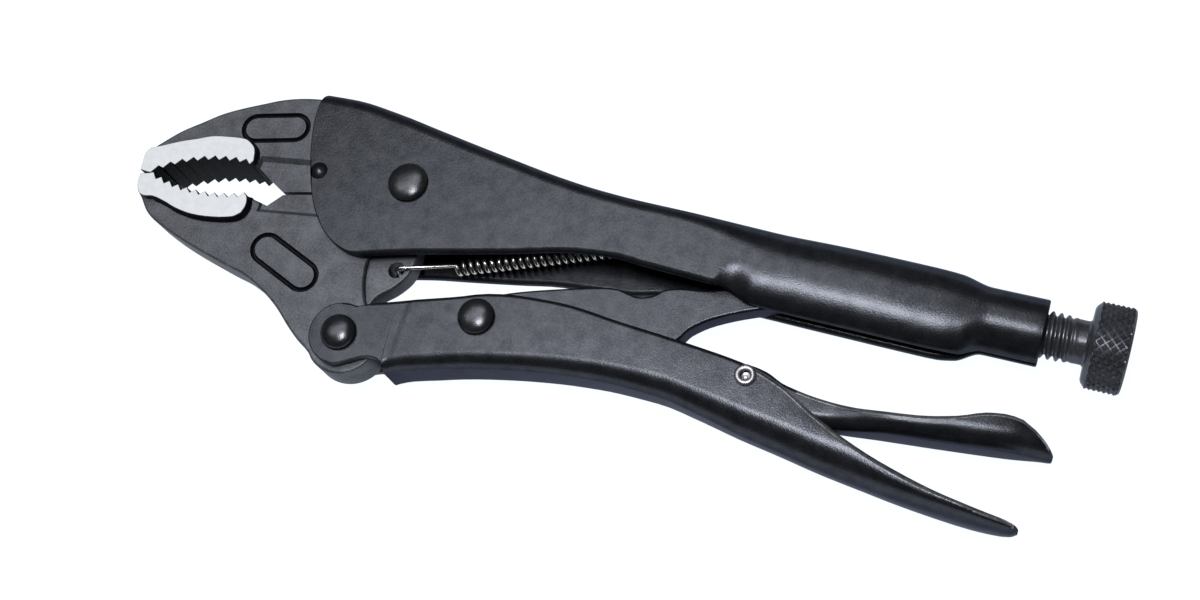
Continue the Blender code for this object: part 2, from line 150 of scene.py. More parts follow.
HANDLE_FRONT = [(-185.2, 22.0), (-185.6, 18.6), (-185.9, 15.3), (-185.6, 10.6), (-184.4, 5.2),
                (-182.6, -0.4), (-179.4, -8.0), (-175.9, -13.6), (-171.5, -18.0),
                (-166.8, -20.4), (-162.0, -21.0), (-158.0, -20.2)]

# How much lower the far cheek's edge hangs than the near one's, which is a guess.
FAR_FOOT_DROP = [(-162.0, 0.0), (-154.0, 1.4), (-145.0, 1.7), (-138.0, 2.2), (-120.0, 3.4),
                 (-107.0, 4.5), (-99.0, 4.5), (-90.0, 2.0), (-80.0, 0.4), (-76.0, 0.0)]

# Lower handle: rim, floor and half width.
LOWER_RIM = [(-175.0, -30.0), (-160.0, -32.8), (-152.2, -31.1), (-144.0, -28.4), (-134.2, -25.3),
             (-127.0, -22.8), (-118.5, -21.4), (-108.0, -20.9), (-93.7, -22.1), (-79.0, -23.2),
             (-63.0, -24.9), (-54.4, -27.4), (-45.0, -32.5), (-36.6, -36.5), (-27.0, -39.9),
             (-12.0, -43.6), (-3.0, -44.8), (1.5, -45.1), (3.3, -45.4), (4.2, -45.85)]
LOWER_FLOOR = [(-175.0, -62.0), (-150.5, -58.0), (-146.0, -47.5), (-135.5, -43.7),
               (-126.0, -41.1), (-111.0, -38.2), (-101.5, -37.0), (-91.5, -36.4),
               (-81.5, -36.6), (-71.0, -38.3), (-61.0, -40.4), (-50.5, -42.2), (-40.5, -44.0),
               (-31.0, -45.3), (-22.0, -46.4), (-12.5, -47.2), (-3.5, -47.6), (1.0, -47.5),
               (3.0, -47.15), (4.2, -46.4)]
LOWER_HALF = [(-175.0, EAR_HALF), (-145.8, EAR_HALF), (-144.2, 7.7), (-10.0, 7.7), (-6.0, 7.3),
              (-3.0, 6.75), (0.0, 5.8), (2.0, 4.7), (3.2, 3.7), (3.9, 2.7), (4.2, 1.8)]

# Release lever: rim, floor and half width.
LEVER_RIM = [(-84.0, -28.6), (-75.0, -28.2), (-69.0, -26.0), (-65.0, -24.6), (-61.8, -24.3),
             (-58.0, -24.9), (-53.0, -26.9), (-44.0, -28.2), (-36.5, -28.5), (-29.5, -28.1),
             (-22.5, -27.3), (-14.0, -25.3), (-7.5, -22.9), (-3.0, -22.3), (0.0, -22.6),
             (3.0, -24.0), (6.0, -26.0), (7.9, -27.8)]
LEVER_FLOOR = [(-84.0, -32.4), (-72.0, -33.4), (-60.0, -34.4), (-48.0, -34.6), (-37.5, -33.6),
               (-29.0, -32.4), (-14.5, -31.1), (-0.5, -29.7), (6.0, -29.1), (7.9, -29.0)]
LEVER_HALF = [(-84.0, 4.8), (-43.0, 4.8), (-26.0, 7.4), (-6.0, 7.5), (-2.0, 7.35), (1.0, 6.9),
              (3.5, 6.1), (5.5, 4.95), (6.9, 3.6), (7.6, 2.5), (7.9, 1.6)]

# Forged jaws, their raised gripping pads, and the grooved frames beside them.
FIXED_BODY = [(-228.5, -11.0), (-224.8, -10.4), (-221.0, -8.6), (-214.0, -4.9), (-207.0, -2.6),
              (-198.0, -3.4), (-193.6, -5.5), (-188.5, -8.3), (-181.0, -6.6), (-172.0, -5.2)]
FIXED_BACK = [(-158.0, 14.0), (-165.0, 15.2), (-177.0, 16.6), (-186.5, 16.4), (-186.5, 18.3),
              (-192.1, 17.4), (-197.6, 15.8), (-202.5, 13.6), (-207.6, 11.2), (-212.3, 8.6),
              (-216.7, 5.3), (-221.4, 1.7), (-224.7, -1.6), (-227.6, -5.0), (-228.9, -8.0)]
FIXED_PAD = [(-197.9, -3.0), (-198.8, 0.1), (-200.5, 1.6), (-202.4, 2.3), (-207.8, 1.8),
             (-211.7, 1.0), (-215.2, -0.5), (-218.6, -1.8), (-221.4, -3.1), (-224.2, -4.5),
             (-226.6, -5.5), (-227.5, -7.0), (-227.3, -10.0), (-227.1, -11.9)]
MOVING_TOP = [(-188.5, -9.1), (-181.0, -7.4), (-172.0, -6.0)]
MOVING_NECK = [(-160.3, -20.3), (-157.7, -30.6), (-153.0, -35.4)]
MOVING_BACK = [(-170.9, -44.5), (-174.4, -41.9), (-179.3, -37.8), (-184.6, -34.5),
               (-190.7, -31.9), (-196.8, -30.5), (-210.0, -27.0), (-219.0, -23.7),
               (-222.5, -21.6), (-225.4, -18.4), (-227.2, -16.6), (-227.9, -14.7),
               (-228.0, -12.2), (-225.0, -12.0), (-223.0, -13.6), (-215.0, -15.2),
               (-208.0, -16.0), (-199.0, -14.2), (-196.2, -12.0), (-191.6, -12.8)]
MOVING_PAD = [(-196.0, -12.8), (-195.5, -15.0), (-196.0, -17.1), (-197.8, -18.6),
              (-203.0, -19.9), (-208.7, -20.4), (-213.7, -19.8), (-217.2, -18.8),
              (-220.9, -18.1), (-223.2, -18.5), (-224.8, -18.2), (-226.0, -16.6),
              (-226.6, -14.6), (-226.7, -12.9), (-224.4, -12.3)]
# Teeth: centre and radius of the arc of their tips, where it starts and ends in x, and how many.
FIXED_TEETH = ((-199.5, -46.3), 42.1, -224.0, -198.6, 9)
MOVING_TEETH = ((-210.5, 28.7), 42.5, -223.2, -197.2, 10)
TOOTH_DEPTH = 1.2

PAD_TIP_X = -221.5
PAD_DRAFT = 0.75
LUG = [(-163.0, -10.0), (-150.5, -10.5), (-149.0, -16.0), (-149.3, -21.2), (-150.4, -23.6),
       (-152.6, -26.4), (-155.2, -28.8), (-156.2, -31.0), (-156.6, -34.0), (-163.0, -34.0)]
FIXED_RECESS = [(-197.5, -9.5), (-197.0, -1.6), (-170.0, 2.0), (-170.0, -9.5)]
MOVING_RECESS = [(-193.0, -6.0), (-193.0, -14.1), (-170.0, -10.9), (-170.0, -6.0)]
RECESS_DEPTH = 1.1
RECESS_SLOPE = 1.9

# Engraved frames: centre, length, width and tilt in degrees.
FRAMES = {"fixed_jaw": ((-196.5, 7.7), 17.4, 7.0, 13.5),
          "moving_jaw": ((-181.1, -26.4), 20.0, 7.3, -22.0)}
FRAME_GROOVE = 0.65
FRAME_DEPTH = 1.1

# Round dimple in the near cheek of the upper handle.
DIMPLE = (-179.4, -2.2)
DIMPLE_RADIUS = 2.8
DIMPLE_DEPTH = 1.4
DIMPLE_RISE = 3.4

# Tint of grazing reflections: dark, so that bends mirror less of the white floor.
EDGE_TINT = (0.3, 0.32, 0.38, 1.0)

body_of = {node: body for body, nodes in frame["record"]["behaviour"]["bodies"].items()
           for node in nodes}
jaw_joint = next(joint for joint in frame["joints"] if joint["name"] == "jaw_pivot")
SHIFT = (jaw_joint["pos_m"][0] - JAW_PIVOT[0] * MM, jaw_joint["pos_m"][1] - JAW_PIVOT[1] * MM,
         jaw_joint["pos_m"][2])


def world(x, y, z):
    return (x * MM + SHIFT[0], y * MM + SHIFT[1], z * MM + SHIFT[2])


# ---- curves and outlines ----

def curve(points):
    """Smooth height of a line of (x, y) points, without overshoot, as a function of x."""
    xs, ys = np.array(points, float).T
    gaps = np.diff(xs)
    slopes = np.diff(ys) / gaps
    product = slopes[:-1] * slopes[1:]
    total = slopes[:-1] + slopes[1:]
    middle = np.where(product > 0, 2 * product / np.where(total == 0, 1, total), 0.0)
    tangents = np.concatenate([slopes[:1], middle, slopes[-1:]])

    def height(x):
        i = int(np.clip(np.searchsorted(xs, x) - 1, 0, len(gaps) - 1))
        s = float(np.clip((x - xs[i]) / gaps[i], 0.0, 1.0))
        return float(ys[i] * (1 + 2 * s) * (1 - s) ** 2 + ys[i + 1] * s * s * (3 - 2 * s)
                     + gaps[i] * s * (1 - s) * (tangents[i] * (1 - s) - tangents[i + 1] * s))

    return height


def ease(x, start, end):
    """0 before start, 1 after end, and a smooth step between them."""
    s = min(max((x - start) / (end - start), 0.0), 1.0)
    return s * s * (3 - 2 * s)


def blend(a, b, share):
    return a + (b - a) * share


def arc(centre, radius, start_deg, end_deg, steps):
    angles = np.radians(np.linspace(start_deg, end_deg, steps + 1))
    return [(centre[0] + radius * math.cos(a), centre[1] + radius * math.sin(a)) for a in angles]


def soften(points, closed=True, steps=4, corner_deg=35.0):
    """The same outline with smooth curves between its points, keeping its sharp corners."""
    p = np.array(points, float)
    count = len(p)
    after = np.roll(p, -1, axis=0) - p
    before = p - np.roll(p, 1, axis=0)
    turn = np.degrees(np.abs((np.arctan2(after[:, 1], after[:, 0])
                              - np.arctan2(before[:, 1], before[:, 0]) + math.pi)
                             % (2 * math.pi) - math.pi))
    tangent = (after + before) / 2
    result = []
    for i in range(count if closed else count - 1):
        j = (i + 1) % count
        step = p[j] - p[i]
        length = np.linalg.norm(step)
        starts = step if turn[i] > corner_deg else tangent[i]
        ends = step if turn[j] > corner_deg else tangent[j]
        starts = starts / max(np.linalg.norm(starts), 1e-9) * length
        ends = ends / max(np.linalg.norm(ends), 1e-9) * length
        pieces = steps if length > 1.2 else 1
        for s in np.linspace(0, 1, pieces, endpoint=False):
            result.append(tuple(p[i] * (1 + 2 * s) * (1 - s) ** 2 + p[j] * s * s * (3 - 2 * s)
                                + starts * s * (1 - s) ** 2 - ends * s * s * (1 - s)))
    if not closed:
        result.append(tuple(p[-1]))
    return result


# ---- meshes ----

def make(name, points, faces, materials=()):
    """Mesh object from drawing-frame points, with its normals outward."""
    mesh = bpy.data.meshes.new(name)
    mesh.from_pydata([world(*p) for p in points], [], faces)
    work = bmesh.new()
    work.from_mesh(mesh)
    bmesh.ops.remove_doubles(work, verts=work.verts, dist=0.000005)
    bmesh.ops.recalc_face_normals(work, faces=work.faces)
    work.to_mesh(mesh)
    work.free()
    for material in materials:
        mesh.materials.append(material)
    result = bpy.data.objects.new(name, mesh)
    bpy.context.scene.collection.objects.link(result)
    return result


def skin(name, sections, materials=(), closed_ends=True):
    """Body through a row of closed sections with equal point counts.

    Its end faces take the second material, where there is one.
    """
    points = [p for section in sections for p in section]
    size = len(sections[0])
    faces = []
    for row in range(len(sections) - 1):
        for i in range(size):
            j = (i + 1) % size
            a = row * size
            faces.append((a + i, a + j, a + size + j, a + size + i))
    if closed_ends:
        faces.append(tuple(range(size - 1, -1, -1)))
        faces.append(tuple(range((len(sections) - 1) * size, len(sections) * size)))
    result = make(name, points, faces, materials)
    if len(materials) > 1:
        for face in result.data.polygons:
            if len(face.vertices) > 6:
                face.material_index = 1
    return result


def prism(name, low_outline, low, high_outline, high, materials=()):
    return skin(name, [[(x, y, low) for x, y in low_outline],
                       [(x, y, high) for x, y in high_outline]], materials)


def edit(target, action):
    work = bmesh.new()
    work.from_mesh(target.data)
    action(work)
    work.to_mesh(target.data)
    work.free()


def combine(target, tool, operation):
    """Boolean with the tool, which is used up. Its faces keep the tool's material."""
    step = target.modifiers.new(operation, "BOOLEAN")
    step.operation = operation
    step.solver = "EXACT"
    step.material_mode = "TRANSFER"
    step.object = tool
    depsgraph = bpy.context.evaluated_depsgraph_get()
    mesh = bpy.data.meshes.new_from_object(target.evaluated_get(depsgraph))
    target.modifiers.clear()
    target.data = mesh
    bpy.data.objects.remove(tool, do_unlink=True)
    edit(target, lambda work: bmesh.ops.remove_doubles(work, verts=work.verts, dist=0.00002))


def close_gaps(target, merge):
    """Removes slivers smaller than merge mm, then fills every opening that is left."""
    def action(work):
        bmesh.ops.dissolve_degenerate(work, edges=work.edges, dist=merge * MM)
        open_edges = [e for e in work.edges if e.is_boundary]
        bmesh.ops.holes_fill(work, edges=open_edges, sides=0)
        bmesh.ops.recalc_face_normals(work, faces=work.faces)
    edit(target, action)


def round_edges(target, width, segments, chosen):
    """Rounds the edges that chosen(edge) picks."""
    def action(work):
        picked = [e for e in work.edges if len(e.link_faces) == 2 and chosen(e)]
        bmesh.ops.bevel(work, geom=picked, offset=width * MM, segments=segments, profile=0.5,
                        affect="EDGES", clamp_overlap=False)
    edit(target, action)


def flat_rim(edge):
    """An edge between a flat side and a wall."""
    a, b = (abs(face.normal.z) for face in edge.link_faces)
    return max(a, b) > 0.95 and min(a, b) < 0.4


def cut_rim(edge):
    """A sharp edge between a face left by a cut and the skin."""
    a, b = (face.material_index for face in edge.link_faces)
    return (a == 1) != (b == 1) and edge.calc_face_angle(0.0) > 0.8


def drill(target, centre, radius, segments=32):
    outline = arc(centre, radius, 0, 360 * (1 - 1 / segments), segments - 1)
    combine(target, prism("cut", outline, -CUT_REACH, outline, CUT_REACH), "DIFFERENCE")


def turned(name, profile, centre, axis, segments, materials=()):
    """Round piece turned from (position along the axis, radius) points."""
    sections = []
    for along, radius in profile:
        section = []
        for i in range(segments):
            angle = 2 * math.pi * i / segments
            u = radius * math.cos(angle)
            v = radius * math.sin(angle)
            if axis == "X":
                section.append((along, centre[0] + u, centre[1] + v))
            else:
                section.append((centre[0] + u, centre[1] + v, along))
        sections.append(section)
    return skin(name, sections, materials, closed_ends=profile[0] != profile[-1])


def tube(name, path, radius, sides, materials=()):
    """Round wire along a path, its section carried along without twist."""
    path = np.array(path)
    tangents = np.gradient(path, axis=0)
    tangents /= np.linalg.norm(tangents, axis=1)[:, None]
    normal = np.cross(tangents[0], (0.0, 0.0, 1.0))
    if np.linalg.norm(normal) < 0.1:
        normal = np.cross(tangents[0], (1.0, 0.0, 0.0))
    sections = []
    for point, tangent in zip(path, tangents):
        normal = normal - tangent * np.dot(normal, tangent)
        normal /= np.linalg.norm(normal)
        side = np.cross(tangent, normal)
        sections.append([tuple(point + radius * (math.cos(a) * normal + math.sin(a) * side))
                         for a in np.linspace(0, 2 * math.pi, sides, endpoint=False)])
    return skin(name, sections, materials)


def join(target, *others):
    """One object from several closed shells."""
    for other in others:
        slots = {}
        for index, material in enumerate(other.data.materials):
            if material.name not in target.data.materials:
                target.data.materials.append(material)
            slots[index] = target.data.materials.find(material.name)
        for face in other.data.polygons:
            face.material_index = slots.get(face.material_index, 0)
        work = bmesh.new()
        work.from_mesh(target.data)
        work.from_mesh(other.data)
        work.to_mesh(target.data)
        work.free()
        bpy.data.objects.remove(other, do_unlink=True)


def finish_piece(piece, node, smooth_deg=40.0, flat_weights=True):
    """Shades a piece and puts it in the place of its CAD node."""
    mesh = piece.data
    mesh.polygons.foreach_set("use_smooth", [True] * len(mesh.polygons))
    mesh.set_sharp_from_angle(angle=math.radians(smooth_deg))
    if flat_weights:
        step = piece.modifiers.new("flat_faces", "WEIGHTED_NORMAL")
        step.keep_sharp = True
    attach(piece, body_of[node])
    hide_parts(node)


# ---- sheet-metal sections ----

def bend(centre_y, centre_z, reach_y, reach_z, start_deg, end_deg, steps):
    """Part of an ellipse as (y, z, inward y, inward z) entries; 0 degrees is +Y, 90 is +Z.

    The inward direction follows the angle, so on an ellipse it isn't quite square to the curve.
    """
    return [(centre_y + reach_y * math.cos(a), centre_z + reach_z * math.sin(a),
             -math.cos(a), -math.sin(a))
            for a in np.radians(np.linspace(start_deg, end_deg, steps + 1))]


def sheet_section(x, path, thickness):
    """Closed section at x of a sheet whose outside is a half path, mirrored, ends rounded."""
    y, z, ny, nz = path[-1]
    r = thickness / 2
    ey, ez = -nz, ny
    if (y - path[-2][0]) * ey + (z - path[-2][1]) * ez < 0:
        ey, ez = -ey, -ez
    y -= ey * r
    z -= ez * r
    path = path[:-1] + [(y, z, ny, nz)]
    end = [(y + ey * r * math.sin(a) + ny * r * (1 - math.cos(a)),
            z + ez * r * math.sin(a) + nz * r * (1 - math.cos(a)))
           for a in np.radians([36.0, 72.0, 108.0, 144.0])]
    outer = [(py, pz) for py, pz, _, _ in path]
    inner = [(py + thickness * my, pz + thickness * mz) for py, pz, my, mz in path]
    near = outer[::-1]
    far = [(py, -pz) for py, pz in outer[1:]]
    far_end = [(py, -pz) for py, pz in end]
    inner_far = [(py, -pz) for py, pz in inner[::-1]]
    loop = near + far + far_end + inner_far + inner[1:] + end[::-1]
    return [(x, py, pz) for py, pz in loop]


back_at = curve(HANDLE_BACK)
foot_at = curve(HANDLE_FOOT)
drop_at = curve(FAR_FOOT_DROP)


def channel_path(x):
    """Half outline of the upper handle's section: back, bend, cheek, lower bend, lip."""
    curl = max(ease(x, -76.5, -66.0), 0.002)
    round_up = ease(x, -88.0, -58.0)
    neck = ease(x, -23.0, -11.5)
    half = blend(CHANNEL_HALF, NECK_HALF, neck)
    top_y = blend(blend(3.8, 9.2, round_up), 7.2, neck)
    top_z = blend(blend(3.8, 7.4, round_up), 7.7, neck)
    low_y = blend(blend(3.6, 8.6, round_up), 7.2, neck)
    low_z = blend(blend(3.0, 4.6, round_up), 7.7, neck)
    lip = 0.5 * blend(SHEET, NECK_SHEET, neck) + 0.05
    back = back_at(x)
    path = [(back, 0.0, -1.0, 0.0)]
    path += bend(back - top_y, half - top_z, top_y, top_z, 0.0, 90.0, 9)
    turn = math.radians(90.0 * curl * (1.0 - 0.1 * neck))
    spread = 1.0 / max(curl, 0.12)
    low_y *= spread ** 0.5
    low_z *= spread
    start = foot_at(x) + low_y * math.sin(turn) + lip * math.cos(turn)
    path += bend(start, half - low_z, low_y, low_z, 90.0, 90.0 + math.degrees(turn), 8)
    y, z, ny, nz = path[-1]
    path.append((y + nz * lip, z - ny * lip, ny, nz))
    return path


def far_side_lowered(section):
    """The upper handle's section with the lower edge of its far cheek, at -Z, moved down."""
    x = section[0][0]
    drop = drop_at(x)
    fade_start = foot_at(x) + 1.0
    fade_end = foot_at(x) + 9.0
    return [(x, y - drop * (1 - ease(y, fade_start, fade_end)) if z < 0 else y, z)
            for _, y, z in section]


def upper_handle(skin_material, cut_material):
    stations = [*np.arange(-192.0, -79.0, 3.0), *np.arange(-78.0, -62.0, 0.8),
                *np.arange(-62.0, -22.5, 2.5), *np.arange(-22.0, -11.0, 0.7),
                -10.0, -7.0, -4.0, -2.0, 0.0]
    sections = []
    for x in stations:
        thickness = blend(SHEET, NECK_SHEET, ease(x, -20.5, -13.0))
        sections.append(far_side_lowered(sheet_section(x, channel_path(x), thickness)))
    body = skin("upper_handle_shell", sections, (skin_material, cut_material))
    front = soften(HANDLE_FRONT, closed=False)
    front += [(-140.0, -40.0), (20.0, -40.0), (20.0, 30.0), (-185.2, 30.0)]
    combine(body, prism("cut", front, -CUT_REACH, front, CUT_REACH, (cut_material,)), "INTERSECT")
    drill(body, JAW_PIVOT, JAW_PIVOT_HOLE)
    dent = turned("cut", [(CHANNEL_HALF - DIMPLE_DEPTH + DIMPLE_RISE * (1 - math.cos(a)),
                           DIMPLE_RADIUS * math.sin(a))
                          for a in np.linspace(0.02, 1.5, 9)], DIMPLE, "Z", 28)
    combine(body, dent, "DIFFERENCE")
    round_edges(body, RIM_ROUND, 2, cut_rim)
    finish_piece(body, "upper_handle")


def trough(name, stations, lines, bends, sheet, materials):
    """Sheet-metal trough through the stations; lines are its rim, floor and half width."""
    rim_at, floor_at, half_at, bend_at = (curve(line) for line in (*lines, bends))
    sections = []
    for x in stations:
        rim, floor, half = rim_at(x), floor_at(x), half_at(x)
        depth = rim - floor
        thickness = min(sheet, 0.5 * depth, 0.5 * half)
        radius_y = min(bend_at(x), depth - thickness / 2 - 0.05)
        radius_z = min(bend_at(x), half * 0.9)
        path = [(floor, 0.0, 1.0, 0.0)]
        path += bend(floor + radius_y, half - radius_z, radius_y, radius_z, 180.0, 90.0, 9)
        path.append((rim, half, 0.0, -1.0))
        sections.append(sheet_section(x, path, thickness))
    return skin(name, sections, materials)


def paint_rim_highlight(target, rim, start_x, end_x):
    """Paints a highlight on the rim of a trough with its third material, between two places along x.
    """
    rim_at = curve(rim)
    for face in target.data.polygons:
        x = (face.center.x - SHIFT[0]) / MM
        y = (face.center.y - SHIFT[1]) / MM
        if start_x < x < end_x and y > rim_at(x) - RIM_HIGHLIGHT_DEPTH:
            face.material_index = 2


def lower_handle(skin_material, cut_material, rim_highlight_material):
    stations = [*np.arange(-172.0, -147.0, 3.0), *np.arange(-147.0, -142.5, 0.5),
                *np.arange(-142.0, -9.0, 3.0), *np.arange(-9.0, 2.0, 1.0), 2.6, 3.1, 3.5, 3.8,
                4.0, 4.2]
    bends = [(-175.0, 3.6), (-146.0, 3.6), (-111.0, 3.9), (-79.0, 4.8), (-50.0, 6.2), (5.0, 7.0)]
    body = trough("lower_handle_shell", stations, (LOWER_RIM, LOWER_FLOOR, LOWER_HALF), bends,
                  SHEET, (skin_material, cut_material, rim_highlight_material))
    outline = arc(HANDLE_PIVOT, LOWER_HANDLE_END, 75.0, 280.0, 26)
    outline += soften([(-154.7, -46.8), (-153.0, -45.8), (-151.0, -45.1), (-148.8, -45.0),
                       (-147.0, -45.7), (-146.2, -48.0)], closed=False)
    outline += [(-146.2, -70.0), (20.0, -70.0), (20.0, -10.0), (-130.0, -10.0), (-152.5, -31.3)]
    combine(body, prism("cut", outline, -CUT_REACH, outline, CUT_REACH, (cut_material,)), "INTERSECT")
    drill(body, HANDLE_PIVOT, RIVET_HOLE)
    drill(body, LINK_PIVOT, RIVET_HOLE)
    drill(body, LEVER_PIVOT, LOWER_HANDLE_LEVER_HOLE)
    round_edges(body, RIM_ROUND, 2, cut_rim)
    # Painted highlight along the rim of the handle's rear part.
    paint_rim_highlight(body, LOWER_RIM, -62.0, 3.0)
    finish_piece(body, "lower_handle")


def release_lever(skin_material, cut_material, rim_highlight_material):
    stations = [*np.arange(-84.0, -76.0, 2.0), *np.arange(-76.0, -50.0, 1.3),
                *np.arange(-50.0, 2.0, 2.0), 3.0, 4.2, 5.2, 6.0, 6.7, 7.2, 7.6, 7.9]
    bends = [(-84.0, 3.0), (-43.0, 3.0), (-26.0, 4.4), (8.0, 5.0)]
    body = trough("release_lever_shell", stations, (LEVER_RIM, LEVER_FLOOR, LEVER_HALF), bends,
                  LEVER_SHEET, (skin_material, cut_material, rim_highlight_material))
    drill(body, LEVER_PIVOT, LEVER_HOLE)
    round_edges(body, LEVER_ROUND, 2, cut_rim)
    # Painted highlight along most of the lever's rim.
    paint_rim_highlight(body, LEVER_RIM, -50.0, 6.5)
    finish_piece(body, "release_lever")


# ---- forged pieces ----

def tooth_row(centre, radius, start_x, end_x, count, depth, side):
    """V-shaped teeth along an arc; the tips lie on the arc and the valleys go into the jaw."""
    row = []
    for i in range(2 * count + 1):
        x = start_x + (end_x - start_x) * i / (2 * count)
        y = centre[1] + side * math.sqrt(radius ** 2 - (x - centre[0]) ** 2)
        row.append((x, y + side * depth * (i % 2)))
    return row


def side_normals(outline):
    """Unit directions to the right of a closed outline, at each of its points."""
    along = np.roll(outline, -1, axis=0) - np.roll(outline, 1, axis=0)
    along /= np.linalg.norm(along, axis=1)[:, None]
    return np.stack((along[:, 1], -along[:, 0]), axis=1)


def widened(outline, reaches):
    """The outline with each point moved outward by its own reach."""
    p = np.array(outline)
    area = np.sum(p[:, 0] * np.roll(p[:, 1], -1) - np.roll(p[:, 0], -1) * p[:, 1])
    share = math.copysign(1.0, area) * np.array(reaches)
    return [tuple(q) for q in p + side_normals(p) * share[:, None]]


def grip_pad(name, teeth, edge, forged, ground, teeth_and_shade):
    """Raised pad through the whole jaw, with flat ground sides and drafted walls.

    The teeth and walls take the near-black material, except where they face the jaw's tip; on the
    walls it is painted shade.
    """
    outline = teeth + soften([teeth[-1], *edge, teeth[0]], closed=False, steps=3)[1:-1]
    drafts = [PAD_DRAFT if i > len(teeth) and x > PAD_TIP_X else 0.0
              for i, (x, _) in enumerate(outline)]
    base = widened(outline, drafts)
    foot = widened(outline, [draft / 3 for draft in drafts])
    levels = [(-PAD_HALF, outline), (-JAW_HALF - 0.9, foot), (-JAW_HALF + 0.3, base),
              (JAW_HALF - 0.3, base), (JAW_HALF + 0.9, foot), (PAD_HALF, outline)]
    pad = skin(name, [[(x, y, z) for x, y in line] for z, line in levels],
               (forged, ground, teeth_and_shade))
    # Teeth and walls go near-black: painted shade on the walls.
    for face in pad.data.polygons:
        if face.material_index == 0 and face.normal.x > -0.8:
            face.material_index = 2
    round_edges(pad, PAD_ROUND, 1, flat_rim)
    return pad


def stadium_groove(spec, materials):
    """Ring-shaped cutter for a plain engraved frame."""
    centre, length, width, tilt = spec
    r = width / 2
    run = length / 2 - r
    loop = arc((run, 0.0), r, -90, 90, 12) + arc((-run, 0.0), r, 90, 270, 12)
    c, s = math.cos(math.radians(tilt)), math.sin(math.radians(tilt))
    p = np.array([(centre[0] + u * c - v * s, centre[1] + u * s + v * c) for u, v in loop])
    sections = []
    for q, n in zip(p, side_normals(p)):
        sections.append([(q[0] + n[0] * FRAME_GROOVE * math.cos(a),
                          q[1] + n[1] * FRAME_GROOVE * math.cos(a),
                          JAW_HALF + FRAME_DEPTH * math.sin(a))
                         for a in np.linspace(0, 2 * math.pi, 10, endpoint=False)])
    sections.append(sections[0])
    return skin("cut", sections, materials, closed_ends=False)


def recess(target, outline, level, side):
    """Shallow recess with sloped walls on one flat side of a jaw."""
    low = [(x, y, side * (level - RECESS_DEPTH)) for x, y in outline]
    wider = widened(outline, [RECESS_SLOPE] * len(outline))
    high = [(x, y, side * (level + 0.6)) for x, y in wider]
    combine(target, skin("cut", [low, high]), "DIFFERENCE")


def fixed_jaw(forged, ground, teeth_and_shade):
    outline = FIXED_BODY + arc(JAW_PIVOT, FIXED_JAW_END, 205.0, 100.0, 9) + FIXED_BACK
    outline = soften(outline)
    jaw = prism("fixed_jaw_forging", outline, -JAW_HALF, outline, JAW_HALF, (forged,))
    round_edges(jaw, FORGE_ROUND, 3, flat_rim)
    teeth = tooth_row(*FIXED_TEETH, TOOTH_DEPTH, 1.0)
    combine(jaw, grip_pad("pad", teeth, FIXED_PAD, forged, ground, teeth_and_shade), "UNION")
    recess(jaw, FIXED_RECESS, JAW_HALF, 1)
    recess(jaw, FIXED_RECESS, JAW_HALF, -1)
    # The frame's groove takes the near-black material: painted shade in the groove.
    combine(jaw, stadium_groove(FRAMES["fixed_jaw"], (teeth_and_shade,)), "DIFFERENCE")
    close_gaps(jaw, FORGE_MERGE)
    finish_piece(jaw, "fixed_jaw", 32.0)


def moving_jaw(forged, ground, teeth_and_shade):
    outline = MOVING_TOP + arc(JAW_PIVOT, MOVING_JAW_END, 208.0, -100.0, 22)
    outline += MOVING_NECK + arc(HANDLE_PIVOT, MOVING_JAW_BOSS, 20.0, -142.0, 13) + MOVING_BACK
    outline = soften(outline)
    jaw = prism("moving_jaw_forging", outline, -JAW_HALF, outline, JAW_HALF, (forged,))
    round_edges(jaw, FORGE_ROUND, 3, flat_rim)
    teeth = tooth_row(*MOVING_TEETH, TOOTH_DEPTH, -1.0)
    combine(jaw, grip_pad("pad", teeth, MOVING_PAD, forged, ground, teeth_and_shade), "UNION")
    recess(jaw, MOVING_RECESS, JAW_HALF, 1)
    recess(jaw, MOVING_RECESS, JAW_HALF, -1)
    lug_outline = soften(LUG)
    lug = prism("lug", lug_outline, -LUG_HALF, lug_outline, LUG_HALF, (forged,))
    round_edges(lug, FORGE_ROUND, 3, flat_rim)
    combine(jaw, lug, "UNION")
    # The frame's groove takes the near-black material: painted shade in the groove.
    combine(jaw, stadium_groove(FRAMES["moving_jaw"], (teeth_and_shade,)), "DIFFERENCE")
    drill(jaw, JAW_PIVOT, JAW_PIVOT_HOLE)
    drill(jaw, HANDLE_PIVOT, RIVET_HOLE)
    drill(jaw, SPRING_HOLE, SPRING_HOLE_RADIUS)
    close_gaps(jaw, FORGE_MERGE)
    finish_piece(jaw, "moving_jaw", 32.0)


def toggle_link(material):
    length = math.dist(LINK_PIVOT, LINK_END)
    along = ((LINK_END[0] - LINK_PIVOT[0]) / length, (LINK_END[1] - LINK_PIVOT[1]) / length)
    outline = arc((0.0, 0.0), 6.8, 90.0, 270.0, 12)
    outline += [(22.0, -6.6), (34.0, -7.6), (39.0, -10.6), (44.5, -10.6), (47.5, -9.0),
                (50.2, -7.0), (55.7, -5.2), (65.0, -4.2)]
    outline += arc((length, 0.0), 4.0, -90.0, 90.0, 10)
    outline += [(75.0, 3.6), (64.0, 2.2), (55.0, 2.2), (48.5, 3.5), (44.7, 3.6), (41.8, 2.5),
                (38.5, 2.5), (35.7, 3.9), (33.4, 5.2), (29.4, 6.0), (23.9, 6.5), (10.0, 7.2)]
    outline = soften([(LINK_PIVOT[0] + u * along[0] - v * along[1],
                       LINK_PIVOT[1] + u * along[1] + v * along[0]) for u, v in outline])
    link = prism("toggle_link_plate", outline, -LINK_HALF, outline, LINK_HALF, (material,))
    round_edges(link, FORGE_ROUND, 3, flat_rim)
    drill(link, LINK_PIVOT, RIVET_HOLE)
    finish_piece(link, "toggle_link")


# ---- rivets, screw and spring ----

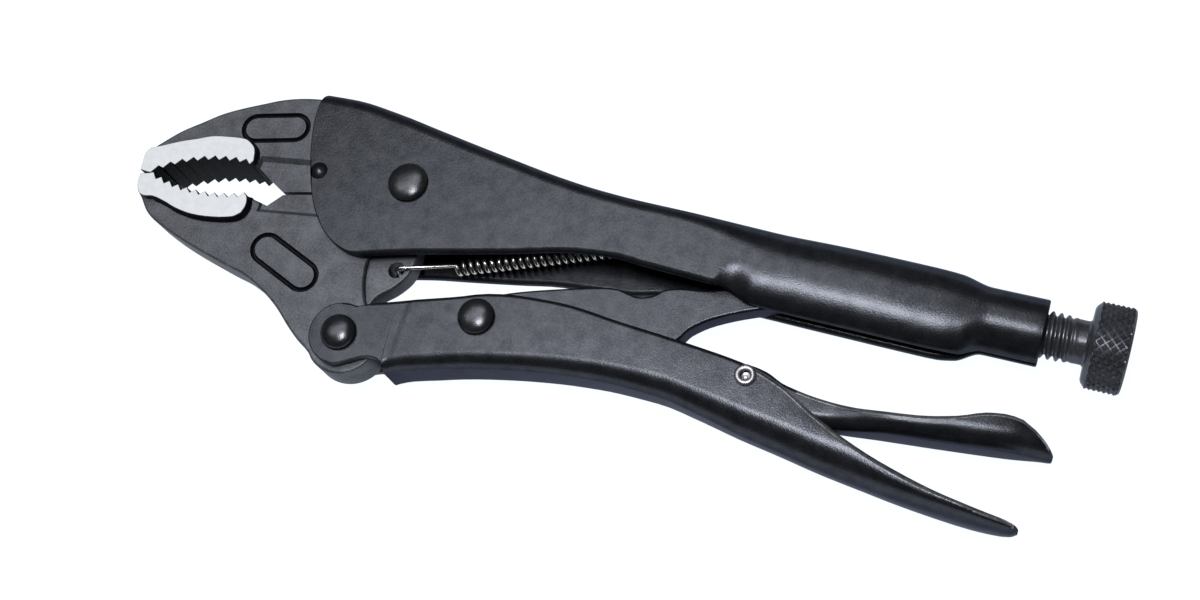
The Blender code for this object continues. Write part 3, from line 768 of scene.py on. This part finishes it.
def domed_rivet(node, centre, shank, head, underside, material):
    """Solid rivet with a domed head on both sides."""
    rise = REST_HEIGHT - underside
    crown = [(underside, shank), (underside, head - 0.25), (underside + 0.12, head - 0.04),
             (underside + 0.38, head)]
    for a in np.radians(np.linspace(8.0, 84.0, 10)):
        crown.append((underside + 0.38 + (rise - 0.38) * math.sin(a) ** 0.9,
                      head * math.cos(a) ** 0.82))
    crown.append((REST_HEIGHT, 0.4))
    profile = [(-along, radius) for along, radius in reversed(crown)] + crown
    finish_piece(turned(node + "_dome", profile, centre, "Z", 48, (material,)), node)


def tubular_rivet(material):
    """Semi-tubular rivet whose ends are rolled over outside the lower handle."""
    underside = EAR_HALF + 0.3
    crown = [(underside - 0.02, 2.1), (underside - 0.02, 2.45), (underside + 0.2, 2.55),
             (underside + 0.45, 2.4), (underside + 0.62, 2.0), (underside + 0.6, 1.55),
             (underside + 0.4, 1.2), (underside, 1.1), (underside - 1.4, 1.05),
             (underside - 1.5, 0.55), (underside - 1.2, 0.45), (underside - 1.15, 0.05)]
    profile = [(-along, radius) for along, radius in reversed(crown)] + crown
    finish_piece(turned("release_lever_rivet_rolled", profile, LEVER_PIVOT, "Z", 40,
                        (material,)), "release_lever_rivet")


def thread(material):
    """Rod whose grid follows the helix, so every crest is one unbroken edge."""
    per_turn = 8
    segments = 48
    shape = [THREAD_ROOT, THREAD_ROOT, blend(THREAD_ROOT, THREAD_RADIUS, 0.45),
             blend(THREAD_ROOT, THREAD_RADIUS, 0.85), THREAD_RADIUS, THREAD_RADIUS,
             blend(THREAD_ROOT, THREAD_RADIUS, 0.7), blend(THREAD_ROOT, THREAD_RADIUS, 0.25)]
    step = THREAD_PITCH / per_turn
    first = int(SCREW_TIP_X / step) - per_turn - 2
    last = int(THREAD_END_X / step) + 2
    points = []
    for k in range(first, last):
        for s in range(segments):
            angle = 2 * math.pi * s / segments
            x = min(max((k + per_turn * s / segments) * step, SCREW_TIP_X), THREAD_END_X)
            radius = blend(shape[k % per_turn], NECK_RADIUS, ease(x, 3.4, THREAD_END_X))
            radius = blend(4.3, radius, ease(x, SCREW_TIP_X, SCREW_TIP_X + 1.2))
            points.append((x, radius * math.cos(angle), radius * math.sin(angle)))
    faces = []
    for row in range(last - first - 1):
        for s in range(segments):
            a = row * segments + s
            b = a + 1 if s < segments - 1 else (row + per_turn) * segments
            c = b + segments
            if c < len(points):
                faces.append((a, b, c, a + segments))
    rod = make("adjusting_screw_thread", points, faces, (material,))
    close_gaps(rod, THREAD_MERGE)
    return rod


def knob(material):
    """Knurled knob with its plain chamfered edges, and the plain neck of the screw."""
    segments = KNURLS_ROUND * 8
    start = KNOB_START_X + 1.3
    end = KNOB_END_X - 0.7
    sections = []
    outer = [(KNOB_START_X, 4.0), (KNOB_START_X, 8.3), (KNOB_START_X + 0.25, 8.9),
             (start - 0.15, KNOB_RADIUS - 0.3)]
    knurled = [(x, None) for x in np.arange(start, end + 0.01, KNURL_LENGTH / 8)]
    rear = [(end + 0.15, KNOB_RADIUS - 0.25), (KNOB_END_X - 0.1, 9.5), (KNOB_END_X, 9.0),
            (KNOB_END_X, 8.2), (KNOB_END_X - 0.25, 7.8), (KNOB_END_X - 0.25, 0.5)]
    for x, fixed in outer + knurled + rear:
        section = []
        for i in range(segments):
            angle = 2 * math.pi * i / segments
            radius = fixed
            if fixed is None:
                u = i / 8 + (x - start) / KNURL_LENGTH
                v = i / 8 - (x - start) / KNURL_LENGTH
                groove = min(abs(u - round(u)), abs(v - round(v)))
                radius = KNOB_RADIUS - KNURL_DEPTH * (1 - min(groove * 2.1, 1.0))
            section.append((x, radius * math.cos(angle), radius * math.sin(angle)))
        sections.append(section)
    head = skin("adjusting_screw_knob", sections, (material,))
    neck = turned("adjusting_screw_neck",
                  [(THREAD_END_X - 1.5, 4.2), (THREAD_END_X - 1.5, NECK_RADIUS - 0.9),
                   (THREAD_END_X - 0.1, NECK_RADIUS - 0.02), (KNOB_START_X - 0.5, NECK_RADIUS),
                   (KNOB_START_X + 0.3, NECK_RADIUS + 0.7), (KNOB_START_X + 0.3, 4.2)],
                  (0.0, 0.0), "X", 48, (material,))
    return head, neck


def adjusting_screw(material):
    rod = thread(material)
    join(rod, *knob(material))
    finish_piece(rod, "adjusting_screw", 28.0, flat_weights=False)


def return_spring(material):
    """Tension spring from the moving jaw's lug to an anchor inside the upper handle."""
    hole = np.array((*SPRING_HOLE, 0.0))
    anchor = np.array((*SPRING_ANCHOR, 0.0))
    reach = np.linalg.norm(anchor - hole)
    along = (anchor - hole) / reach
    side = np.array((-along[1], along[0], 0.0))
    up = np.array((0.0, 0.0, 1.0))
    hook = [hole + 3.0 * along - 3.9 * up, hole + 0.9 * along - 4.1 * up,
            hole - 3.3 * up + 0.1 * along, hole + 3.3 * up + 0.1 * along,
            hole + 1.2 * along + 4.1 * up, hole + 6.0 * along + 3.0 * up]
    path = []
    for a, b in zip(hook, hook[1:]):
        path += [a + (b - a) * s for s in (0.0, 0.35, 0.7)]
    steps = 20 * COIL_TURNS
    for i in range(steps + 1):
        turn = 2 * math.pi * i / 20
        run = reach * (COIL_START + (COIL_END - COIL_START) * i / steps)
        path.append(hole + run * along
                    + COIL_RADIUS * (math.cos(turn) * up - math.sin(turn) * side))
    path.append(hole + (reach * COIL_END + 1.6) * along + 1.5 * up)
    path.append(hole + (reach + 0.6) * along + 0.4 * up)
    path.append(hole + (reach + 0.6) * along - 1.4 * up)
    spring = tube("return_spring_coil", path, WIRE_RADIUS, 10, (material,))
    finish_piece(spring, "return_spring", 60.0, flat_weights=False)
    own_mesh(spring)


# ---- materials ----


def grain_nodes(nodes, link, grain):
    """Mixture of coarse and fine noise, and the fine noise alone."""
    coordinates = nodes.new("ShaderNodeTexCoord")
    clouds = nodes.new("ShaderNodeTexNoise")
    clouds.inputs["Scale"].default_value = grain * 0.12
    clouds.inputs["Detail"].default_value = 4.0
    specks = nodes.new("ShaderNodeTexNoise")
    specks.inputs["Scale"].default_value = grain
    specks.inputs["Detail"].default_value = 3.0
    for texture in (clouds, specks):
        link(coordinates.outputs["Object"], texture.inputs["Vector"])
    mixed = nodes.new("ShaderNodeMath")
    mixed.operation = "MULTIPLY_ADD"
    mixed.inputs[1].default_value = 0.5
    half = nodes.new("ShaderNodeMath")
    half.operation = "MULTIPLY"
    half.inputs[1].default_value = 0.5
    link(specks.outputs["Fac"], half.inputs[0])
    link(clouds.outputs["Fac"], mixed.inputs[0])
    link(half.outputs[0], mixed.inputs[2])
    return mixed, specks


def metal(name, dark, light, roughness, metallic, grain, bump, gloss=0.5):
    """Steel whose colour and roughness vary with a cloudy and a fine grain.

    The gloss is the strength of the reflection from the part that isn't metallic.
    """
    material = bpy.data.materials.new(name)
    material.use_nodes = True
    nodes = material.node_tree.nodes
    link = material.node_tree.links.new
    shader = nodes["Principled BSDF"]
    shader.inputs["Metallic"].default_value = metallic
    shader.inputs["Specular IOR Level"].default_value = gloss
    shader.inputs["Specular Tint"].default_value = EDGE_TINT
    mixed, specks = grain_nodes(nodes, link, grain)
    ramp = nodes.new("ShaderNodeValToRGB")
    ramp.color_ramp.elements[0].position = 0.36
    ramp.color_ramp.elements[0].color = (*dark, 1.0)
    ramp.color_ramp.elements[1].position = 0.64
    ramp.color_ramp.elements[1].color = (*light, 1.0)
    link(mixed.outputs[0], ramp.inputs["Fac"])
    link(ramp.outputs["Color"], shader.inputs["Base Color"])
    spread = nodes.new("ShaderNodeMapRange")
    spread.inputs["To Min"].default_value = roughness[0]
    spread.inputs["To Max"].default_value = roughness[1]
    link(mixed.outputs[0], spread.inputs["Value"])
    link(spread.outputs["Result"], shader.inputs["Roughness"])
    relief = nodes.new("ShaderNodeBump")
    relief.inputs["Strength"].default_value = bump
    relief.inputs["Distance"].default_value = 0.0001
    link(specks.outputs["Fac"], relief.inputs["Height"])
    link(relief.outputs["Normal"], shader.inputs["Normal"])
    return material


# ---- studio ----

def build_camera():
    data = bpy.data.cameras.new("camera")
    data.lens = 50.0
    data.sensor_width = 36.0
    data.clip_start = 0.01
    camera = bpy.data.objects.new("camera", data)
    right = Vector((0.941, 0.290, -0.176)).normalized()
    back = Vector((0.259, -0.279, 0.925)).normalized()
    up = back.cross(right).normalized()
    right = up.cross(back)
    rows = Matrix((right, up, back)).transposed().to_4x4()
    camera.matrix_world = Matrix.Translation(Vector((0.10655, -0.11215, 0.37985))) @ rows
    bpy.context.scene.collection.objects.link(camera)
    bpy.context.scene.camera = camera


def floor():
    """Plain white table, lit from within so that it hardly shows a shadow."""
    s = 3.0
    mesh = bpy.data.meshes.new("floor")
    mesh.from_pydata([(-s, -s, 0), (s, -s, 0), (s, s, 0), (-s, s, 0)], [], [(0, 1, 2, 3)])
    table = bpy.data.objects.new("floor", mesh)
    bpy.context.scene.collection.objects.link(table)
    material = bpy.data.materials.new("floor")
    material.use_nodes = True
    shader = material.node_tree.nodes["Principled BSDF"]
    shader.inputs["Base Color"].default_value = (0.06, 0.065, 0.07, 1.0)
    shader.inputs["Roughness"].default_value = 0.9
    shader.inputs["Emission Color"].default_value = (0.9, 0.95, 1.0, 1.0)
    shader.inputs["Emission Strength"].default_value = 1.08
    mesh.materials.append(material)


def softbox(name, place, target, size, power):
    data = bpy.data.lights.new(name, "AREA")
    data.shape = "RECTANGLE"
    data.size = size[0]
    data.size_y = size[1]
    data.energy = power
    lamp = bpy.data.objects.new(name, data)
    lamp.location = place
    lamp.rotation_euler = (Vector(target) - Vector(place)).to_track_quat("-Z", "Y").to_euler()
    bpy.context.scene.collection.objects.link(lamp)


def studio():
    softbox("overhead", (-0.27, 0.25, 0.82), (-0.05, 0.0, 0.0), (0.75, 0.22), 2.3)
    softbox("front", (-0.02, -0.05, 0.84), (0.05, 0.01, 0.0), (0.3, 0.05), 5.2)
    world_light = bpy.data.worlds.new("studio")
    world_light.use_nodes = True
    background = world_light.node_tree.nodes["Background"]
    background.inputs["Color"].default_value = (0.8, 0.88, 1.0, 1.0)
    background.inputs["Strength"].default_value = 0.04
    bpy.context.scene.world = world_light
    bpy.context.scene.view_settings.view_transform = "Standard"


def build():
    build_camera()
    floor()
    studio()
    sheet = metal("phosphated_sheet", (0.028, 0.03, 0.036), (0.052, 0.055, 0.063),
                  (0.24, 0.36), 0.8, 2600.0, 0.4, 0.3)
    cut = metal("sheet_edge", (0.02, 0.021, 0.026), (0.04, 0.042, 0.05), (0.36, 0.5), 0.3,
                2600.0, 0.3, 0.3)
    # Light grey for the painted highlight along the rims of the lower handle and the lever.
    rim_highlight = metal("painted_rim_highlight", (0.14, 0.145, 0.16), (0.34, 0.35, 0.37), (0.3, 0.42), 0.8,
                 1200.0, 0.2)
    forged = metal("forged_steel", (0.06, 0.063, 0.072), (0.12, 0.126, 0.142), (0.38, 0.52),
                   0.5, 2000.0, 0.7, 0.3)
    ground = metal("ground_steel", (0.66, 0.68, 0.71), (0.76, 0.78, 0.81), (0.45, 0.6), 0.1,
                   6000.0, 0.3)
    # Near-black for the teeth, and painted shade on the pad walls and in the frame grooves.
    teeth_and_shade = metal("dark_teeth_and_painted_shade", (0.003, 0.003, 0.005), (0.012, 0.012, 0.016), (0.5, 0.65),
                    0.2, 2600.0, 0.4, 0.2)
    rivet = metal("rivet_steel", (0.035, 0.037, 0.042), (0.07, 0.073, 0.08), (0.2, 0.3), 0.8,
                  3000.0, 0.3, 0.4)
    screw = metal("screw_steel", (0.055, 0.057, 0.068), (0.11, 0.115, 0.13), (0.24, 0.36), 0.6,
                  2000.0, 0.3, 0.4)
    wire = metal("spring_wire", (0.5, 0.48, 0.45), (0.7, 0.68, 0.64), (0.2, 0.32), 1.0,
                 2000.0, 0.1)
    bright = metal("bright_rivet", (0.22, 0.22, 0.23), (0.32, 0.32, 0.34), (0.3, 0.42), 0.9,
                   2000.0, 0.1)
    upper_handle(sheet, cut)
    fixed_jaw(forged, ground, teeth_and_shade)
    moving_jaw(forged, ground, teeth_and_shade)
    lower_handle(sheet, cut, rim_highlight)
    toggle_link(sheet)
    release_lever(sheet, cut, rim_highlight)
    domed_rivet("jaw_pivot_rivet", JAW_PIVOT, 3.4, 5.05, CHANNEL_HALF + 0.02, rivet)
    domed_rivet("handle_pivot_rivet", HANDLE_PIVOT, 3.2, 4.45, EAR_HALF + 0.02, rivet)
    domed_rivet("link_pivot_rivet", LINK_PIVOT, 3.2, 4.5, EAR_HALF + 0.27, rivet)
    tubular_rivet(bright)
    adjusting_screw(screw)
    return_spring(wire)


build()
